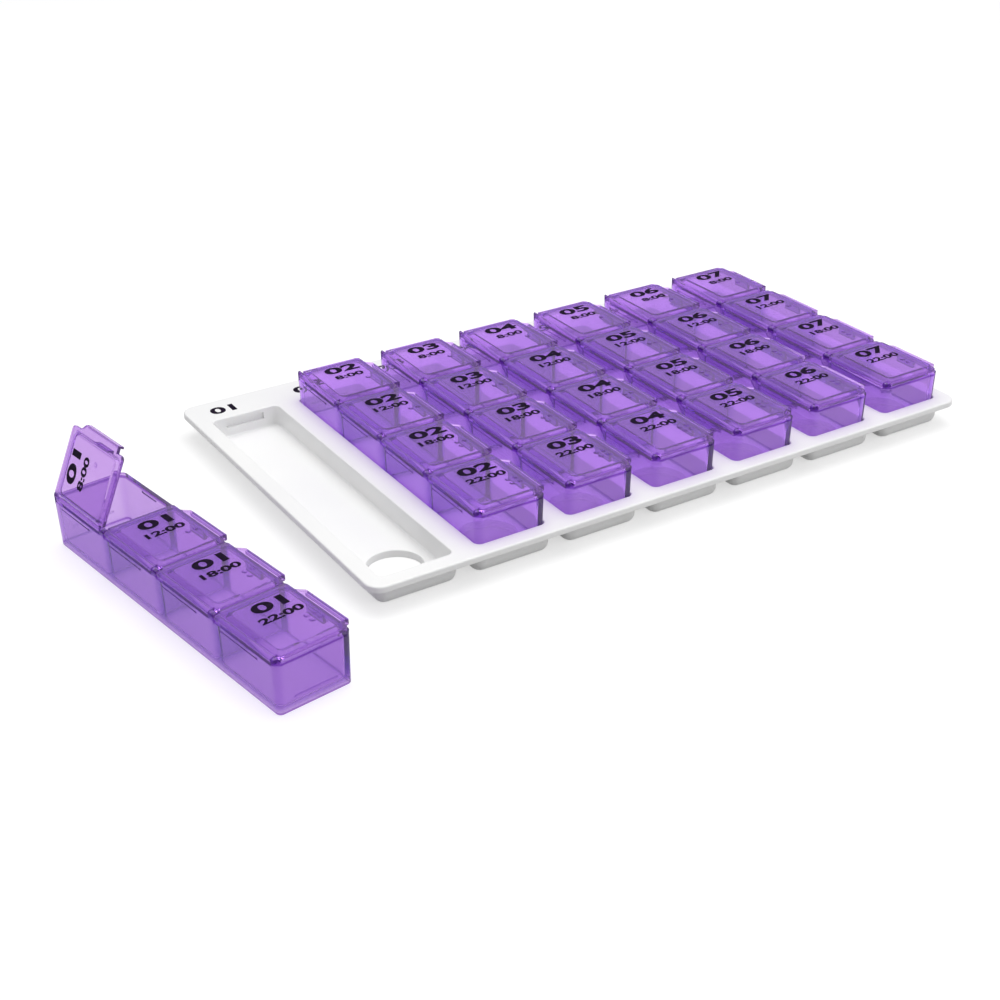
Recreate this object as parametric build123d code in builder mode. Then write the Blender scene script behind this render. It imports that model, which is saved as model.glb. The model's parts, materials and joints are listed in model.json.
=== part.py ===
from build123d import *

import os
from math import cos, radians, sin, tan

# A weekly pill organizer. Day boxes stand side by side in the troughs of a flat tray. Each day box
# holds a row of compartments, and each compartment has a lid that is hinged along its left side.
# X runs along the week, from the first day to the last. Y runs from the bedtime end, at the front,
# to the morning end, at the back. Z points up. The origin lies on the table, in the middle of the
# underside of the fourth day's trough.

# Counts. The list goes from the back of the box to its front.
day_count = 7
doses = ["morning", "noon", "evening", "bedtime"]
dose_count = len(doses)

# Space between the rims of two day boxes, and the distance from one compartment to the next
day_space = 8.0
dose_pitch = 29.25

# Day box, measured across its rim. Its walls lean in towards the floor by the draft angle.
box_width = 24.0
box_height = 16.4
box_wall = 1.2
box_floor = 1.4
box_corner = 2.0
box_foot_round = 0.6
pocket_corner = 2.4
pocket_floor_round = 1.6
draft = 1.4

# Raised lip along the top of both end walls
lip_reach = 0.35
lip_radius = 0.6

# Snap rib low on both end walls, which clicks into the slots of the tray
rib_length = 13.2
rib_radius = 0.3
rib_reach = 0.25
rib_above_base = 4.4

# Hinge: a barrel on the lid turns between ears on the box, on two short pins
hinge_inset = 1.0
barrel_radius = 0.9
ear_radius = 1.0
ear_width = 2.4
pin_radius = 0.5
pin_play = 0.05
pin_spacing = 0.8
hinge_gap = 0.3

# Lid: a flange that lies over the rim, and a raised panel with sloping sides. The seat is the
# hair's breadth between a closed lid and the rim. The borders are the strips of the flange that
# stay flat beside the panel, and the slopes are their widths from above.
lid_seat = 0.05
lid_flange = 1.0
lid_skin = 1.0
lid_gap = 0.4
lid_corner = 1.2
lid_edge_inset = 0.4
lid_edge_round = 0.2
panel_rise = 1.2
panel_corner = 1.6
panel_edge_round = 0.3
panel_border_left = 0.7
panel_border_right = 0.8
panel_border_front = 0.3
panel_border_back = 1.5
slope_left = 1.3
slope_right = 0.4
slope_front = 0.9
slope_back = 2.1

# Thumb tab on the right side of the lid, with a lip that is turned down. The setbacks are its
# distances from the front and the back edge of the lid, and its back end is cut at a slant.
tab_reach = 1.8
tab_front_setback = 3.2
tab_back_setback = 4.4
tab_slant = 2.6
tab_lip = 0.7
tab_drop = 1.0
tab_edge_round = 0.3

# Latch: a lug under the lid carries a small bead, which faces a groove in the right wall
lug_length = 7.5
lug_centre = -1.8
lug_thickness = 1.0
lug_gap = 0.25
lug_tip = 0.7
latch_drop = 1.5
latch_bead = 0.15
latch_groove = 0.35

# Raised dots on the panel that tell the doses apart by touch
dot_radius = 0.9
dot_rise = 0.3
dot_taper = 45.0
dot_pitch = 2.6
dot_x = 5.4
dot_y = -4.6

# Shallow line moulded into the left wall under each hinge, with a dot at its front end
line_length = 17.3
line_centre = 2.0
line_below_rim = 2.3
line_radius = 0.2
line_dot_radius = 0.4
line_dot_depth = 0.25

# Tray: a flat plate with one trough for each day box
plate_thickness = 2.1
plate_corner = 5.0
plate_edge_round = 0.6
plate_foot_round = 0.3
side_border = 5.4
front_border = 5.6
back_border = 15.0
trough_depth = 7.0
trough_floor = 2.4
trough_wall = 1.5
trough_foot_round = 3.0
trough_edge_round = 0.4
trough_floor_round = 0.6
trough_gap = 0.3

# Slot in each end wall of a trough
slot_height = 2.5
slot_depth = 1.0
slot_play = 0.3

# Round hole in the floor of each trough, to push the box up with a finger. The rims are what is
# left of the floor beside the hole and in front of it.
finger_side_rim = 3.2
finger_front_rim = 4.6
finger_edge_round = 0.3

# The first day's box stands on the table, left of the tray and a little forward, turned to the
# left, with its morning lid open
loose_gap = 18.3
loose_forward = 32.3
loose_turn = 8.7
loose_lid_angle = 65.0

# Sizes that follow from the ones above
box_length = dose_count * dose_pitch + box_wall
lean = tan(radians(draft))
pocket_width = box_width - 2 * box_wall
pocket_length = dose_pitch - box_wall
hinge_x = hinge_inset - box_width / 2
lid_base = box_height + lid_seat
hinge_z = lid_base + lid_flange - barrel_radius
ear_face = (dose_pitch - ear_width) / 2
barrel_half = ear_face - hinge_gap
pin_end = (dose_pitch - pin_spacing) / 2
day_pitch = box_width + day_space
seat_lean = (box_height - trough_depth) * lean
opening_width = box_width - 2 * seat_lean + 2 * trough_gap
opening_length = box_length - 2 * seat_lean + 2 * trough_gap
opening_corner = box_corner - seat_lean + trough_gap
tray_top = trough_floor + trough_depth
floor_front = trough_depth * lean - opening_length / 2
finger_radius = opening_width / 2 - trough_depth * lean - finger_side_rim
pocket_floor_corner = pocket_corner - (box_height - box_floor) * lean
trough_foot_corner = opening_corner + trough_wall - tray_top * lean


def day_x(day):
    return (day - (day_count - 1) / 2) * day_pitch


def dose_y(dose):
    return ((dose_count - 1) / 2 - dose) * dose_pitch


def across_y(y):
    return Plane.XZ.offset(-y)


# Day box, standing on Z = 0 with its rim at the top
with BuildPart() as day_box:
    with BuildSketch(Plane.XY.offset(box_height)):
        RectangleRounded(box_width, box_length, box_corner)
    extrude(amount=-box_height, taper=draft)
    fillet(day_box.faces().sort_by(Axis.Z)[0].edges(), box_foot_round)

    # Ears that stand above the rim at each partition and at both ends, trimmed to the outline
    for ear in range(dose_count + 1):
        with BuildSketch(across_y((ear - dose_count / 2) * dose_pitch)):
            with Locations((hinge_x, hinge_z)):
                Circle(ear_radius)
            with Locations((hinge_x, hinge_z - ear_radius)):
                Rectangle(2 * ear_radius, 2 * ear_radius)
        extrude(amount=ear_width / 2, both=True)
    with BuildSketch():
        RectangleRounded(box_width, box_length, box_corner)
    extrude(amount=hinge_z + 2 * ear_radius, mode=Mode.INTERSECT)

    # Compartments
    with BuildSketch(Plane.XY.offset(box_height)):
        with GridLocations(0, dose_pitch, 1, dose_count):
            RectangleRounded(pocket_width, pocket_length, pocket_corner)
    extrude(amount=box_floor - box_height, taper=draft, mode=Mode.SUBTRACT)
    pocket_floors = day_box.faces().filter_by(Plane.XY).filter_by_position(
        Axis.Z, box_floor / 2, box_height / 2
    )
    fillet(pocket_floors.edges(), min(pocket_floor_round, 0.9 * pocket_floor_corner))

    # Lip along the top of the end walls, with rounded ends
    lip_y = box_length / 2 + lip_reach - lip_radius
    for end in (-1, 1):
        with Locations((0, end * lip_y, box_height - lip_radius)):
            Cylinder(lip_radius, box_width - 2 * box_corner, rotation=(0, 90, 0))
            with Locations((box_width / 2 - box_corner, 0), (box_corner - box_width / 2, 0)):
                Sphere(lip_radius)

    for dose in range(dose_count):
        # Room for the lid's barrel between the ears
        with BuildSketch(across_y(dose_y(dose))):
            with Locations((-box_width / 2, hinge_z)):
                Rectangle(
                    2 * (hinge_inset + barrel_radius + hinge_gap),
                    2 * (barrel_radius + hinge_gap),
                )
        extrude(amount=ear_face, both=True, mode=Mode.SUBTRACT)
        # Holes in the ears for the hinge pins
        with BuildSketch(across_y(dose_y(dose))):
            with Locations((hinge_x, hinge_z)):
                Circle(pin_radius + pin_play)
        extrude(amount=pin_end + pin_play, both=True, mode=Mode.SUBTRACT)
        # Groove for the latch in the right wall
        with BuildSketch(across_y(dose_y(dose) + lug_centre)):
            with Locations((pocket_width / 2 - latch_drop * lean, lid_base - latch_drop)):
                Circle(latch_groove)
        extrude(amount=lug_length / 2 + hinge_gap, both=True, mode=Mode.SUBTRACT)
        # Moulded line under the hinge, and its dot
        line_x = line_below_rim * lean - box_width / 2
        with BuildSketch(across_y(dose_y(dose) + line_centre)):
            with Locations((line_x, box_height - line_below_rim)):
                Circle(line_radius)
        extrude(amount=line_length / 2, both=True, mode=Mode.SUBTRACT)
        with BuildSketch(Plane.YZ.offset(line_x)):
            with Locations((dose_y(dose) + line_centre - line_length / 2, box_height - line_below_rim)):
                Circle(line_dot_radius)
        extrude(amount=line_dot_depth, both=True, mode=Mode.SUBTRACT)

    # Snap ribs on both end walls
    rib_y = box_length / 2 - (box_height - rib_above_base) * lean + rib_reach - rib_radius
    with BuildSketch(Plane.YZ):
        with Locations((rib_y, rib_above_base), (-rib_y, rib_above_base)):
            Circle(rib_radius)
    extrude(amount=rib_length / 2, both=True)


def make_lid(dot_count):
    """A closed lid over a compartment in the middle of the box, with its raised dots."""
    lid_length = dose_pitch - lid_gap
    lid_right = box_width / 2 - lid_edge_inset
    flange_top = lid_base + lid_flange
    panel_top = flange_top + panel_rise
    base_x = (hinge_x + panel_border_left, lid_right - panel_border_right)
    base_y = (panel_border_front - lid_length / 2, lid_length / 2 - panel_border_back)
    top_x = (base_x[0] + slope_left, base_x[1] - slope_right)
    top_y = (base_y[0] + slope_front, base_y[1] - slope_back)
    base_centre = (sum(base_x) / 2, sum(base_y) / 2)
    top_centre = (sum(top_x) / 2, sum(top_y) / 2)
    base_size = (base_x[1] - base_x[0], base_y[1] - base_y[0])
    top_size = (top_x[1] - top_x[0], top_y[1] - top_y[0])

    with BuildPart() as lid:
        # Flange
        with BuildSketch(Plane.XY.offset(lid_base)):
            with Locations(((hinge_x + lid_right) / 2, 0)):
                Rectangle(lid_right - hinge_x, lid_length)
        extrude(amount=lid_flange)
        fillet(lid.edges().filter_by(Axis.Z).group_by(Axis.X)[-1], lid_corner)
        fillet(lid.faces().sort_by(Axis.Z)[-1].edges(), lid_edge_round)

        # Raised panel
        with BuildSketch(Plane.XY.offset(flange_top)):
            with Locations(base_centre):
                RectangleRounded(*base_size, panel_corner)
        with BuildSketch(Plane.XY.offset(panel_top)):
            with Locations(top_centre):
                RectangleRounded(*top_size, panel_corner)
        loft()
        fillet(lid.faces().sort_by(Axis.Z)[-1].edges(), panel_edge_round)

        # Hollow under the panel
        with BuildSketch(Plane.XY.offset(lid_base)):
            with Locations(base_centre):
                RectangleRounded(base_size[0] - 2 * lid_skin, base_size[1] - 2 * lid_skin, panel_corner)
        with BuildSketch(Plane.XY.offset(panel_top - lid_skin)):
            with Locations(top_centre):
                RectangleRounded(top_size[0] - lid_skin, top_size[1] - lid_skin, panel_corner)
        loft(mode=Mode.SUBTRACT)

        # Room for the ears of the box at both left corners
        ear_side = hinge_x + ear_radius + hinge_gap
        with BuildSketch(Plane.XY.offset(lid_base)):
            with Locations((ear_side, barrel_half)):
                Rectangle(box_width, dose_pitch, align=(Align.MAX, Align.MIN))
            with Locations((ear_side, -barrel_half)):
                Rectangle(box_width, dose_pitch, align=(Align.MAX, Align.MAX))
        extrude(amount=lid_flange + panel_rise, mode=Mode.SUBTRACT)

        # Hinge barrel, and the pins at its ends
        with BuildSketch(Plane.XZ):
            with Locations((hinge_x, hinge_z)):
                Circle(barrel_radius)
        extrude(amount=barrel_half, both=True)
        with BuildSketch(Plane.XZ):
            with Locations((hinge_x, hinge_z)):
                Circle(pin_radius)
        extrude(amount=pin_end, both=True)

        # Thumb tab, and the lip along its outer edge
        tab_right = box_width / 2 + tab_reach
        tab_root = lid_right - lid_edge_round
        tab_front = tab_front_setback - lid_length / 2
        tab_back = lid_length / 2 - tab_back_setback
        with BuildSketch(Plane.XY.offset(lid_base)):
            with BuildLine():
                Polyline(
                    (tab_root, tab_front),
                    (tab_right, tab_front),
                    (tab_right, tab_back - tab_slant),
                    (tab_root, tab_back),
                    close=True,
                )
            make_face()
        extrude(amount=lid_flange)
        with BuildSketch(Plane.XY.offset(lid_base - tab_drop)):
            with Locations((tab_right, tab_front)):
                Rectangle(
                    tab_lip,
                    tab_back - tab_slant - tab_front,
                    align=(Align.MAX, Align.MIN),
                )
        extrude(amount=tab_drop)
        fillet(lid.edges().filter_by(Axis.Y).group_by(Axis.X)[-1], tab_edge_round)

        # Latch lug under the right side, and its bead
        lug_face = pocket_width / 2 - lug_gap
        with BuildSketch(across_y(lug_centre)):
            with Locations((lug_face, lid_base + lid_flange / 2)):
                Rectangle(
                    lug_thickness,
                    latch_drop + lug_tip + lid_flange / 2,
                    align=(Align.MAX, Align.MAX),
                )
            with Locations((lug_face, lid_base - latch_drop)):
                Circle(latch_bead)
        extrude(amount=lug_length / 2, both=True)

        # Dots, in rows of two
        with BuildSketch(Plane.XY.offset(panel_top)):
            for dot in range(dot_count):
                with Locations((dot_x + dot % 2 * dot_pitch, dot_y - dot // 2 * dot_pitch)):
                    Circle(dot_radius)
        extrude(amount=dot_rise, taper=dot_taper)
    return lid.part


# Tray, standing on Z = 0
plate_left = day_x(0) - opening_width / 2 - side_border
plate_front = -opening_length / 2 - front_border
plate_back = opening_length / 2 + back_border
with BuildPart() as tray:
    # Plate
    with BuildSketch(Plane.XY.offset(tray_top)):
        with Locations((0, (plate_front + plate_back) / 2)):
            RectangleRounded(-2 * plate_left, plate_back - plate_front, plate_corner)
    extrude(amount=-plate_thickness)
    fillet(tray.faces().sort_by(Axis.Z)[-1].edges(), plate_edge_round)
    fillet(tray.faces().sort_by(Axis.Z)[0].edges(), plate_foot_round)

    # Outsides of the troughs
    with BuildSketch(Plane.XY.offset(tray_top)):
        with GridLocations(day_pitch, 0, day_count, 1):
            RectangleRounded(
                opening_width + 2 * trough_wall,
                opening_length + 2 * trough_wall,
                opening_corner + trough_wall,
            )
    extrude(amount=-tray_top, taper=draft)
    trough_feet = tray.faces().filter_by(Plane.XY).group_by(Axis.Z)[0]
    fillet(trough_feet.edges(), min(trough_foot_round, 0.9 * trough_foot_corner))

    # Insides of the troughs
    with BuildSketch(Plane.XY.offset(tray_top)):
        with GridLocations(day_pitch, 0, day_count, 1):
            RectangleRounded(opening_width, opening_length, opening_corner)
    extrude(amount=-trough_depth, taper=draft, mode=Mode.SUBTRACT)
    floors = tray.faces().filter_by(Plane.XY).filter_by_position(
        Axis.Z, trough_floor / 2, trough_floor + trough_depth / 2
    )
    fillet(floors.edges(), trough_floor_round)
    fillet(tray.faces().sort_by(Axis.Z)[-1].inner_wires().edges(), trough_edge_round)

    # Finger holes near the front ends
    with BuildSketch(Plane.XY.offset(trough_floor)):
        with Locations((0, floor_front + finger_front_rim + finger_radius)):
            with GridLocations(day_pitch, 0, day_count, 1):
                Circle(finger_radius)
    extrude(amount=-trough_floor, mode=Mode.SUBTRACT)
    rims = tray.edges().filter_by(GeomType.CIRCLE).filter_by_position(
        Axis.Z, trough_floor - finger_edge_round / 2, trough_floor + finger_edge_round / 2
    )
    fillet(rims.filter_by(lambda rim: rim.is_closed), finger_edge_round)

    # Slots for the snap ribs, in both end walls of every trough
    slot_z = trough_floor + rib_above_base
    slot_half = opening_length / 2 - (tray_top - slot_z) * lean + slot_depth
    with BuildSketch(Plane.XZ):
        with Locations((0, slot_z)):
            with GridLocations(day_pitch, 0, day_count, 1):
                Rectangle(rib_length + 2 * slot_play, slot_height)
    extrude(amount=slot_half, both=True, mode=Mode.SUBTRACT)

os.makedirs("parts", exist_ok=True)

tray.part.label = "tray"
export_step(tray.part, "parts/tray.step")

lids = [make_lid(dose + 1) for dose in range(dose_count)]
reach_left = box_width / 2 * cos(radians(loose_turn)) + box_length / 2 * sin(radians(loose_turn))
loose_place = Location((plate_left - loose_gap - reach_left, -loose_forward, 0), (0, 0, loose_turn))
for day in range(day_count):
    place = Location((day_x(day), 0, trough_floor)) if day else loose_place
    with BuildPart() as placed_box:
        with Locations(place):
            add(day_box.part)
    placed_box.part.label = f"day_{day + 1}_box"
    export_step(placed_box.part, f"parts/day_{day + 1}_box.step")
    for dose in range(dose_count):
        angle = 0 if day or dose else loose_lid_angle
        hinge = Location((hinge_x, dose_y(dose), hinge_z), (0, -angle, 0))
        with BuildPart() as placed_lid:
            with Locations(place * hinge * Location((-hinge_x, 0, -hinge_z))):
                add(lids[dose])
        placed_lid.part.label = f"day_{day + 1}_{doses[dose]}_lid"
        export_step(placed_lid.part, f"parts/day_{day + 1}_{doses[dose]}_lid.step")
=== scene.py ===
import json
from math import radians

import bmesh
import bpy
from mathutils import Matrix, Vector


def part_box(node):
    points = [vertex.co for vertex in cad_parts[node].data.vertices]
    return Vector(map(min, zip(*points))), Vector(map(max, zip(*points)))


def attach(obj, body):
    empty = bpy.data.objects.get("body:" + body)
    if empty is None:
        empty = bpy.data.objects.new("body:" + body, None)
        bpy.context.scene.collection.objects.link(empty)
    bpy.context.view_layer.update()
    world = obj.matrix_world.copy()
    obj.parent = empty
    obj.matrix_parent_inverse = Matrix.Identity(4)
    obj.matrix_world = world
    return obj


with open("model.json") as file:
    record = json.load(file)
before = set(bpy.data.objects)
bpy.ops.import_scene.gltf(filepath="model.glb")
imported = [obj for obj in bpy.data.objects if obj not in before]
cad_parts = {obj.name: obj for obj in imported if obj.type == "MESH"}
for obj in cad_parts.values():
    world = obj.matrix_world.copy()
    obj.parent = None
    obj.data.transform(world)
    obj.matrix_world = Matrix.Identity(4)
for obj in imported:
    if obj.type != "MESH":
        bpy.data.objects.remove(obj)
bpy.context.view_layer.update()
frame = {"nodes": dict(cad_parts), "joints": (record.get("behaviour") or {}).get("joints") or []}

DAYS = range(1, 8)
MIDDLE_DAY = 4
DAY_PITCH = 0.032

# The hour that is printed for each dose, and the joints by their names
HOURS = {"morning": "8:00", "noon": "12:00", "evening": "18:00", "bedtime": "22:00"}
JOINTS = {joint["name"]: joint for joint in frame["joints"]}

# Prints, in metres. The lid prints are placed from the hinge of their lid: the distances are to the
# middle of the print across the lid, and to the two baselines along it. The stretches widen the
# figures, and the boldness thickens their strokes.
PANEL_ABOVE_HINGE = 0.0021
LID_PRINT_MIDDLE = 0.01185
DAY_BASELINE = 0.0038
DAY_HEIGHT = 0.005
DAY_STRETCH = 1.9
HOUR_BASELINE = -0.0012
HOUR_HEIGHT = 0.003
HOUR_STRETCH = 1.55
TRAY_PRINT_SHIFT = -0.005
TRAY_BASELINE = 0.0634
TRAY_HEIGHT = 0.0052
TRAY_STRETCH = 1.55
INK_THICKNESS = 0.00004
BOLDNESS = 0.035

# Purple plastic: the tints of its surface, the painted shade that darkens it, and the dye in its
# depth.
# The shade band is the width of painted shade beside a sharp edge, and the bends say how far its
# normal turns there. The painted shade of a box's foot and rim lies the end distances from its
# middle, as shares of its height, and the slopes tell its walls from its floor.
BOX_TINT = (0.84, 0.68, 0.95)
BOX_PAINTED_EDGE_SHADE = (0.26, 0.09, 0.48)
LID_TINT = (0.79, 0.58, 0.94)
LID_PAINTED_EDGE_SHADE = (0.32, 0.13, 0.54)
PAINTED_SHADE_BAND = 0.0009
PAINTED_SHADE_BENDS = (0.7, 0.98)
BOX_MIDDLE = 0.47
END_DISTANCES = (0.4, 0.43)
WALL_SLOPES = (0.9, 0.5)
CLEARNESS = 0.88
PLASTIC_IOR = 1.18
PLASTIC_ROUGHNESS = (0.02, 0.07)
DYE = (0.43, 0.05, 0.75)
DYE_DENSITY = 330

# White plastic
WHITE = (0.87, 0.87, 0.865)
DULLER_WHITE = (0.84, 0.84, 0.845)
WHITE_ROUGHNESS = (0.3, 0.42)
GRAIN_STRENGTH = 0.15
GRAIN_DEPTH = 0.00005
GLOW_BEHIND_BOXES = 0.6

# Ink
INK_BLACK = (0.004, 0.001, 0.009)
THIN_INK = (0.012, 0.004, 0.022)
INK_ROUGHNESS = (0.5, 0.7)
INK_SHINE = 0.06

# Floor, with the share of it that glows, and the grey that it has for the light that it throws back
FLOOR_HALF = 4
FLOOR_WHITE = (0.92, 0.92, 0.92)
FLOOR_GREY = (0.5, 0.5, 0.5)
FLOOR_ROUGHNESS = 0.9
FLOOR_GLOW = 1.18
GLOW_SHARE = 0.5

# Sky, from the horizon to the zenith, and as it is seen through the plastic
SKY = (0.15, 0.95)
SKY_BEHIND_PLASTIC = 0.8

# Places of the two colours and of the result among the sockets of a colour mix
MIX_FIRST, MIX_SECOND, MIX_RESULT = 6, 7, 2


def new_material(name):
    material = bpy.data.materials.new(name)
    material.use_nodes = True
    nodes = material.node_tree.nodes
    return material, nodes, material.node_tree.links, nodes["Principled BSDF"]


def math_node(nodes, links, operation, *values):
    """The result of a sum on the given values, each of which is a number or a node's output."""
    node = nodes.new("ShaderNodeMath")
    node.operation = operation
    for socket, value in zip(node.inputs, values):
        if isinstance(value, bpy.types.NodeSocket):
            links.new(value, socket)
        else:
            socket.default_value = value
    return node.outputs[0]


def remap(nodes, links, value, old, new):
    """The value, moved from the old range to the new one."""
    node = nodes.new("ShaderNodeMapRange")
    node.inputs["From Min"].default_value, node.inputs["From Max"].default_value = old
    node.inputs["To Min"].default_value, node.inputs["To Max"].default_value = new
    links.new(value, node.inputs["Value"])
    return node.outputs["Result"]


def uneven(nodes, links, scale, low, high):
    """A value that wanders between low and high over the surface."""
    place = nodes.new("ShaderNodeTexCoord")
    noise = nodes.new("ShaderNodeTexNoise")
    noise.inputs["Scale"].default_value = scale
    noise.inputs["Detail"].default_value = 3
    links.new(place.outputs["Object"], noise.inputs["Vector"])
    return remap(nodes, links, noise.outputs["Fac"], (0.3, 0.7), (low, high))


def blend(nodes, links, share, first, second):
    """The first colour, with a share of the second."""
    mix = nodes.new("ShaderNodeMix")
    mix.data_type = "RGBA"
    links.new(share, mix.inputs[0])
    mix.inputs[MIX_FIRST].default_value = (*first, 1)
    mix.inputs[MIX_SECOND].default_value = (*second, 1)
    return mix.outputs[MIX_RESULT]


def show_blend(nodes, links, share, first, second):
    """Makes the surface the first shader, with a share of the second."""
    mix = nodes.new("ShaderNodeMixShader")
    links.new(share, mix.inputs[0])
    links.new(first.outputs[0], mix.inputs[1])
    links.new(second.outputs[0], mix.inputs[2])
    links.new(mix.outputs[0], nodes["Material Output"].inputs["Surface"])


def shade_at_foot_and_rim(nodes, links, normal):
    """The share of painted shade on a box's walls: 1 around its foot and its rim, and 0 elsewhere.
    """
    extent = nodes.new("ShaderNodeTexCoord")
    height = nodes.new("ShaderNodeSeparateXYZ")
    slope = nodes.new("ShaderNodeSeparateXYZ")
    links.new(extent.outputs["Generated"], height.inputs[0])
    links.new(normal, slope.inputs[0])
    off_middle = math_node(nodes, links, "SUBTRACT", height.outputs["Z"], BOX_MIDDLE)
    distance = math_node(nodes, links, "ABSOLUTE", off_middle)
    level = math_node(nodes, links, "ABSOLUTE", slope.outputs["Z"])
    at_end = remap(nodes, links, distance, END_DISTANCES, (0, 1))
    upright = remap(nodes, links, level, WALL_SLOPES, (0, 1))
    return math_node(nodes, links, "MULTIPLY", at_end, upright)


def tinted_plastic(name, tint, painted_edge_shade, is_box):
    """Clear plastic dyed through, with a polished skin that is very slightly uneven. Its colour
    is darkened with painted shade along its edges, and on a box also around its foot and its
    rim."""
    material, nodes, links, shader = new_material(name)
    # Painted shade: the colour darkens beside sharp edges, where the rounded normal turns away from
    # the true one
    rounded = nodes.new("ShaderNodeBevel")
    rounded.samples = 4
    rounded.inputs["Radius"].default_value = PAINTED_SHADE_BAND
    flat = nodes.new("ShaderNodeNewGeometry")
    bend = nodes.new("ShaderNodeVectorMath")
    bend.operation = "DOT_PRODUCT"
    links.new(rounded.outputs[0], bend.inputs[0])
    links.new(flat.outputs["Normal"], bend.inputs[1])
    painted_shade = remap(nodes, links, bend.outputs["Value"], PAINTED_SHADE_BENDS, (1, 0))
    # Painted shade also darkens a box's walls around its foot and its rim
    if is_box:
        shaded_ends = shade_at_foot_and_rim(nodes, links, flat.outputs["Normal"])
        painted_shade = math_node(nodes, links, "MAXIMUM", shaded_ends, painted_shade)
    links.new(blend(nodes, links, painted_shade, tint, painted_edge_shade), shader.inputs["Base Color"])
    links.new(uneven(nodes, links, 60, *PLASTIC_ROUGHNESS), shader.inputs["Roughness"])
    shader.inputs["IOR"].default_value = PLASTIC_IOR
    shader.inputs["Transmission Weight"].default_value = CLEARNESS

    absorb = nodes.new("ShaderNodeVolumeAbsorption")
    absorb.inputs["Color"].default_value = (*DYE, 1)
    absorb.inputs["Density"].default_value = DYE_DENSITY
    links.new(absorb.outputs["Volume"], nodes["Material Output"].inputs["Volume"])

    # Light reaches what lies behind the plastic, and only the dye weakens it
    rays = nodes.new("ShaderNodeLightPath")
    through = nodes.new("ShaderNodeBsdfTransparent")
    through.inputs["Color"].default_value = (1, 1, 1, 1)
    lighting = math_node(
        nodes, links, "MAXIMUM", rays.outputs["Is Shadow Ray"], rays.outputs["Is Diffuse Ray"]
    )
    show_blend(nodes, links, lighting, shader, through)
    return material


def white_plastic(name):
    """Moulded white plastic with a fine grain. It has a painted glow where it is seen through the
    boxes, light that no lamp gives, so that they look as clear as they are."""
    material, nodes, links, shader = new_material(name)
    cloud = uneven(nodes, links, 25, 0, 1)
    links.new(blend(nodes, links, cloud, WHITE, DULLER_WHITE), shader.inputs["Base Color"])
    links.new(uneven(nodes, links, 90, *WHITE_ROUGHNESS), shader.inputs["Roughness"])
    grain = nodes.new("ShaderNodeBump")
    grain.inputs["Strength"].default_value = GRAIN_STRENGTH
    grain.inputs["Distance"].default_value = GRAIN_DEPTH
    links.new(uneven(nodes, links, 1500, 0, 1), grain.inputs["Height"])
    links.new(grain.outputs["Normal"], shader.inputs["Normal"])
    # Painted glow: the tray gives off light for rays that reach it through the plastic
    shader.inputs["Emission Color"].default_value = (1, 1, 1, 1)
    rays = nodes.new("ShaderNodeLightPath")
    glow = math_node(
        nodes, links, "MULTIPLY", rays.outputs["Is Transmission Ray"], GLOW_BEHIND_BOXES
    )
    links.new(glow, shader.inputs["Emission Strength"])
    return material


def black_ink(name):
    """Matt ink that covers a little unevenly."""
    material, nodes, links, shader = new_material(name)
    thin = uneven(nodes, links, 700, 0, 1)
    links.new(blend(nodes, links, thin, INK_BLACK, THIN_INK), shader.inputs["Base Color"])
    links.new(uneven(nodes, links, 900, *INK_ROUGHNESS), shader.inputs["Roughness"])
    shader.inputs["Specular IOR Level"].default_value = INK_SHINE
    return material


def white_floor(name):
    """White paper that glows a little for the camera, through the plastic and in reflections."""
    material, nodes, links, shader = new_material(name)
    rays = nodes.new("ShaderNodeLightPath")
    mirrored = math_node(
        nodes, links, "MAXIMUM", rays.outputs["Is Camera Ray"], rays.outputs["Is Glossy Ray"]
    )
    seen = math_node(nodes, links, "MAXIMUM", mirrored, rays.outputs["Is Transmission Ray"])
    links.new(blend(nodes, links, seen, FLOOR_GREY, FLOOR_WHITE), shader.inputs["Base Color"])
    shader.inputs["Roughness"].default_value = FLOOR_ROUGHNESS
    glow = nodes.new("ShaderNodeEmission")
    glow.inputs["Strength"].default_value = FLOOR_GLOW
    share = math_node(nodes, links, "MULTIPLY", seen, GLOW_SHARE)
    show_blend(nodes, links, share, shader, glow)
    return material


BOX_PLASTIC = tinted_plastic("box_purple", BOX_TINT, BOX_PAINTED_EDGE_SHADE, is_box=True)
LID_PLASTIC = tinted_plastic("lid_purple", LID_TINT, LID_PAINTED_EDGE_SHADE, is_box=False)
TRAY_PLASTIC = white_plastic("tray_white")
INK = black_ink("black_ink")

for name, node in frame["nodes"].items():
    material = LID_PLASTIC
    if name == "tray":
        material = TRAY_PLASTIC
    elif name.endswith("box"):
        material = BOX_PLASTIC
    for slot in node.material_slots:
        slot.material = material


def new_object(bm, name, material):
    mesh = bpy.data.meshes.new(name)
    bm.to_mesh(mesh)
    bm.free()
    mesh.materials.append(material)
    piece = bpy.data.objects.new(name, mesh)
    bpy.context.collection.objects.link(piece)
    return piece


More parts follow.
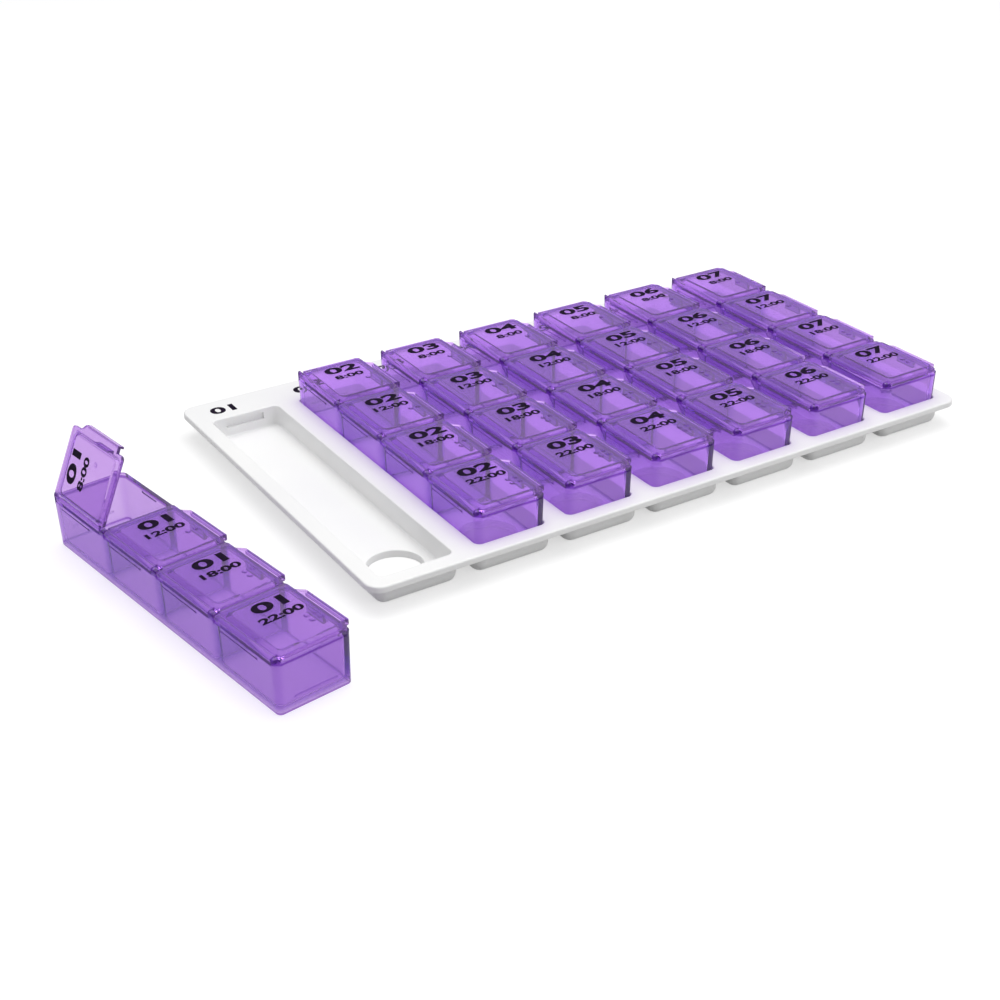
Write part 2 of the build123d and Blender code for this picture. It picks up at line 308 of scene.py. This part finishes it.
def print_line(bm, words, middle, baseline, height, stretch, place):
    """Adds one line of flat raised figures, centred on its middle, and lays it by the place."""
    curve = bpy.data.curves.new("figures", "FONT")
    curve.body = words
    curve.extrude = 0.01
    curve.offset = BOLDNESS
    curve.resolution_u = 4
    text = bpy.data.objects.new("figures", curve)
    bpy.context.collection.objects.link(text)
    bpy.context.view_layer.update()
    final = text.evaluated_get(bpy.context.evaluated_depsgraph_get())
    mesh = bpy.data.meshes.new_from_object(final)
    bpy.data.objects.remove(text)
    bpy.data.curves.remove(curve)
    low = [min(v.co[i] for v in mesh.vertices) for i in range(3)]
    high = [max(v.co[i] for v in mesh.vertices) for i in range(3)]
    size = height / (high[1] - low[1])
    mesh.transform(
        place
        @ Matrix.Translation((middle, baseline, 0))
        @ Matrix.Diagonal((size * stretch, size, INK_THICKNESS / (high[2] - low[2]), 1))
        @ Matrix.Translation((-(low[0] + high[0]) / 2, -low[1], -low[2]))
    )
    bm.from_mesh(mesh)
    bpy.data.meshes.remove(mesh)


def lid_place(hinge):
    """The top of a lid's panel as the lid stands: X away from the hinge, Y along it, Z outward."""
    axis = Vector(hinge["axis"])
    closed = Matrix((Vector((0, 0, 1)).cross(axis), -axis, (0, 0, 1))).transposed().to_4x4()
    opened = Matrix.Rotation(radians(-hinge["range_deg"][0]), 4, axis)
    rise = Matrix.Translation((0, 0, PANEL_ABOVE_HINGE))
    return Matrix.Translation(hinge["pos_m"]) @ opened @ closed @ rise


# Figures on the lids: the day, and the hour under it
for day in DAYS:
    for dose, hour in HOURS.items():
        lid = f"day_{day}_{dose}_lid"
        place = lid_place(JOINTS[f"{lid}_hinge"])
        bm = bmesh.new()
        print_line(bm, f"0{day}", LID_PRINT_MIDDLE, DAY_BASELINE, DAY_HEIGHT, DAY_STRETCH, place)
        print_line(bm, hour, LID_PRINT_MIDDLE, HOUR_BASELINE, HOUR_HEIGHT, HOUR_STRETCH, place)
        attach(new_object(bm, f"{lid}_print", INK), lid)

# Figures on the back border of the tray
bm = bmesh.new()
tray_surface = Matrix.Translation((0, 0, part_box("tray")[1][2]))
for day in DAYS:
    middle = (day - MIDDLE_DAY) * DAY_PITCH + TRAY_PRINT_SHIFT
    print_line(bm, f"0{day}", middle, TRAY_BASELINE, TRAY_HEIGHT, TRAY_STRETCH, tray_surface)
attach(new_object(bm, "tray_print", INK), "tray")

# Camera
camera_data = bpy.data.cameras.new("camera")
camera_data.lens = 57.75
camera_data.clip_start = 0.01
camera = bpy.data.objects.new("camera", camera_data)
camera.location = (-0.2820, -0.4031, 0.2443)
camera.rotation_euler = (radians(61.230), radians(0.514), radians(-32.165))
bpy.context.collection.objects.link(camera)
bpy.context.scene.camera = camera

# Floor
bm = bmesh.new()
bmesh.ops.create_grid(bm, x_segments=1, y_segments=1, size=FLOOR_HALF)
new_object(bm, "floor", white_floor("floor_white"))

# Light: a bright ceiling that fades to a dimmer horizon. The camera sees it white, and so does
# what looks through the plastic.
world = bpy.data.worlds.new("studio")
world.use_nodes = True
nodes, links = world.node_tree.nodes, world.node_tree.links
sky = nodes["Background"]
sky.inputs["Color"].default_value = (1, 1, 1, 1)
direction = nodes.new("ShaderNodeTexCoord")
height = nodes.new("ShaderNodeSeparateXYZ")
links.new(direction.outputs["Generated"], height.inputs[0])
fade = remap(nodes, links, height.outputs["Z"], (0, 1), SKY)
rays = nodes.new("ShaderNodeLightPath")
seen_white = math_node(
    nodes,
    links,
    "MULTIPLY_ADD",
    rays.outputs["Is Transmission Ray"],
    SKY_BEHIND_PLASTIC,
    rays.outputs["Is Camera Ray"],
)
links.new(math_node(nodes, links, "MAXIMUM", fade, seen_white), sky.inputs["Strength"])
bpy.context.scene.world = world


def softbox(name, place, size, power):
    """A soft lamp that faces the origin."""
    data = bpy.data.lights.new(name, "AREA")
    data.shape = "RECTANGLE"
    data.size, data.size_y = size
    data.energy = power
    light = bpy.data.objects.new(name, data)
    light.location = place
    light.rotation_euler = (-Vector(place)).to_track_quat("-Z", "Y").to_euler()
    bpy.context.collection.objects.link(light)


softbox("top_softbox", (0.1, 0.1, 0.9), (0.9, 0.7), 4.5)
softbox("front_softbox", (0.5, -0.9, 0.6), (0.7, 0.5), 2.2)

bpy.context.scene.view_settings.view_transform = "Standard"
